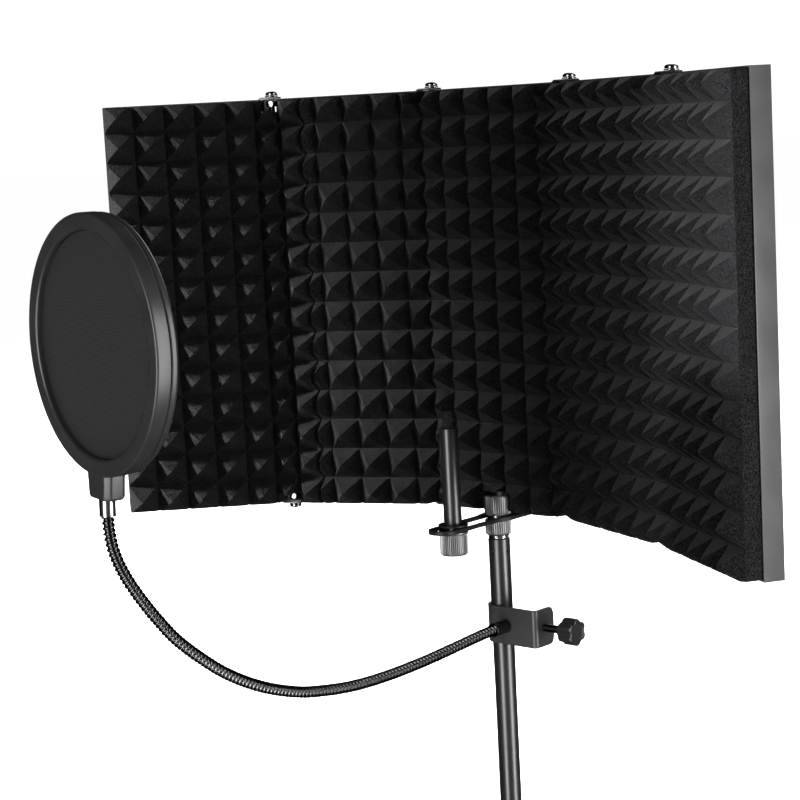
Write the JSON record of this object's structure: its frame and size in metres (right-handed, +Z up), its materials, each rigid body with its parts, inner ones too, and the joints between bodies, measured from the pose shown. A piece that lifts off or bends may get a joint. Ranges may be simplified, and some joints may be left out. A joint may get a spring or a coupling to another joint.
{
  "type": "microphone isolation shield",
  "caption": "Folding microphone isolation shield with pyramid foam lining, slotted bracket, microphone post and clamp-on gooseneck pop filter on a stand tube.",
  "frame": {"origin": "the stand tube's axis at its lower end", "axes": "+Z up along the stand tube, +Y from the speaker towards the back of the shield, +X to the speaker's right"},
  "size_m": [0.5708, 0.4356, 0.5459],
  "materials": {
    "panel_black": "satin black powder coat",
    "foam_charcoal": "open-cell foam, matt",
    "zinc": "bright zinc plate",
    "bracket_black": "satin black",
    "tube_black": "smooth semi-gloss black",
    "knurled_nut": "black nickel, knurled",
    "ferrule_dark": "black nickel, polished",
    "ferrule_grey": "nickel, polished",
    "knob_black": "moulded, satin",
    "gooseneck_chrome": "black chrome, wound steel",
    "hoop_black": "moulded, satin",
    "pop_mesh": "fine woven nylon mesh"
  },
  "bodies": {
    "stand": {"stand_tube": "tube_black", "stand_stud": "zinc"},
    "upper_nut": {"stand_nut_upper": "knurled_nut"},
    "lower_nut": {"stand_nut_lower": "knurled_nut"},
    "shield_middle": {"bracket": "bracket_black", "bracket_screw_1": "zinc", "bracket_screw_2": "zinc", "bracket_nut_1": "zinc", "bracket_nut_2": "zinc", "panel_3": "panel_black", "foam_3": "foam_charcoal", "hinge_screw_left_inner_top": "zinc", "hinge_washer_left_inner_top": "zinc", "hinge_nut_left_inner_top": "zinc", "hinge_screw_left_inner_bottom": "zinc", "hinge_washer_left_inner_bottom": "zinc", "hinge_nut_left_inner_bottom": "zinc", "hinge_screw_right_inner_top": "zinc", "hinge_washer_right_inner_top": "zinc", "hinge_nut_right_inner_top": "zinc", "hinge_screw_right_inner_bottom": "zinc", "hinge_washer_right_inner_bottom": "zinc", "hinge_nut_right_inner_bottom": "zinc"},
    "wing_left_inner": {"panel_2": "panel_black", "foam_2": "foam_charcoal", "hinge_screw_left_outer_top": "zinc", "hinge_washer_left_outer_top": "zinc", "hinge_nut_left_outer_top": "zinc", "hinge_screw_left_outer_bottom": "zinc", "hinge_washer_left_outer_bottom": "zinc", "hinge_nut_left_outer_bottom": "zinc"},
    "wing_left_outer": {"panel_1": "panel_black", "foam_1": "foam_charcoal"},
    "wing_right_inner": {"panel_4": "panel_black", "foam_4": "foam_charcoal", "hinge_screw_right_outer_top": "zinc", "hinge_washer_right_outer_top": "zinc", "hinge_nut_right_outer_top": "zinc", "hinge_screw_right_outer_bottom": "zinc", "hinge_washer_right_outer_bottom": "zinc", "hinge_nut_right_outer_bottom": "zinc"},
    "wing_right_outer": {"panel_5": "panel_black", "foam_5": "foam_charcoal"},
    "post": {"mic_post": "tube_black", "mic_post_washer": "knurled_nut"},
    "post_nut": {"mic_post_nut": "knurled_nut"},
    "clamp": {"clamp_jaw": "bracket_black", "clamp_ferrule": "ferrule_dark", "gooseneck_1": "gooseneck_chrome"},
    "screw_pad": {"clamp_pad": "zinc"},
    "screw_knob": {"clamp_screw": "zinc", "clamp_knob": "knob_black"},
    "gooseneck_low": {"gooseneck_2": "gooseneck_chrome"},
    "gooseneck_high": {"gooseneck_3": "gooseneck_chrome"},
    "pop_filter": {"gooseneck_4": "gooseneck_chrome", "pop_ferrule": "ferrule_grey", "pop_hoop_front": "hoop_black", "pop_hoop_rear": "hoop_black", "pop_mesh_front": "pop_mesh", "pop_mesh_rear": "pop_mesh"}
  },
  "joints": [
    {"name": "shield_swivel", "type": "hinge", "parent": "stand", "child": "shield_middle", "pos_m": [0, 0, 0.228], "axis": [0, 0, 1], "range_deg": [-60, 60]},
    {"name": "fold_left_inner", "type": "hinge", "parent": "shield_middle", "child": "wing_left_inner", "pos_m": [-0.064, 0.023, 0.385], "axis": [0, 0, 1], "range_deg": [-23.3, 24.7]},
    {"name": "fold_left_outer", "type": "hinge", "parent": "wing_left_inner", "child": "wing_left_outer", "pos_m": [-0.18156, -0.02763, 0.385], "axis": [0, 0, 1], "range_deg": [-22.7, 25.3]},
    {"name": "fold_right_inner", "type": "hinge", "parent": "shield_middle", "child": "wing_right_inner", "pos_m": [0.064, 0.023, 0.385], "axis": [0, 0, -1], "range_deg": [-21.8, 26.2]},
    {"name": "fold_right_outer", "type": "hinge", "parent": "wing_right_inner", "child": "wing_right_outer", "pos_m": [0.18285, -0.02454, 0.385], "axis": [0, 0, -1], "range_deg": [-10, 38]},
    {"name": "upper_nut_turn", "type": "hinge", "parent": "stand", "child": "upper_nut", "pos_m": [0, 0, 0.2375], "axis": [0, 0, 1], "range_deg": [0, 360]},
    {"name": "lower_nut_turn", "type": "hinge", "parent": "stand", "child": "lower_nut", "pos_m": [0, 0, 0.2208], "axis": [0, 0, -1], "range_deg": [0, 360]},
    {"name": "post_slide", "type": "slide", "parent": "shield_middle", "child": "post", "axis": [0, 1, 0], "range_m": [-0.0105, 0.0285]},
    {"name": "post_nut_turn", "type": "hinge", "parent": "post", "child": "post_nut", "pos_m": [0, -0.0505, 0.2175], "axis": [0, 0, -1], "range_deg": [0, 360]},
    {"name": "clamp_slide", "type": "slide", "parent": "stand", "child": "clamp", "axis": [0, 0, 1], "range_m": [-0.1, 0.04]},
    {"name": "clamp_pad_travel", "type": "slide", "parent": "clamp", "child": "screw_pad", "axis": [1, 0, 0], "range_m": [0, 0.005]},
    {"name": "clamp_screw_turn", "type": "hinge", "parent": "screw_pad", "child": "screw_knob", "pos_m": [0.062, 0, 0.1495], "axis": [1, 0, 0], "range_deg": [0, 1800]},
    {"name": "gooseneck_swing", "type": "hinge", "parent": "clamp", "child": "gooseneck_low", "pos_m": [0.01175, -0.08818, 0.14498], "axis": [0, 0, 1], "range_deg": [-12, 12]},
    {"name": "gooseneck_lift", "type": "hinge", "parent": "gooseneck_low", "child": "gooseneck_high", "pos_m": [0.012, -0.22595, 0.15229], "axis": [1, 0, 0], "range_deg": [-8, 20]},
    {"name": "gooseneck_tilt", "type": "hinge", "parent": "gooseneck_high", "child": "pop_filter", "pos_m": [0.0121, -0.34162, 0.22514], "axis": [1, 0, 0], "range_deg": [-20, 20]}
  ],
  "couplings": [
    {"joint": "clamp_pad_travel", "follows": "clamp_screw_turn", "m_per_rad": 0.00015915}
  ]
}
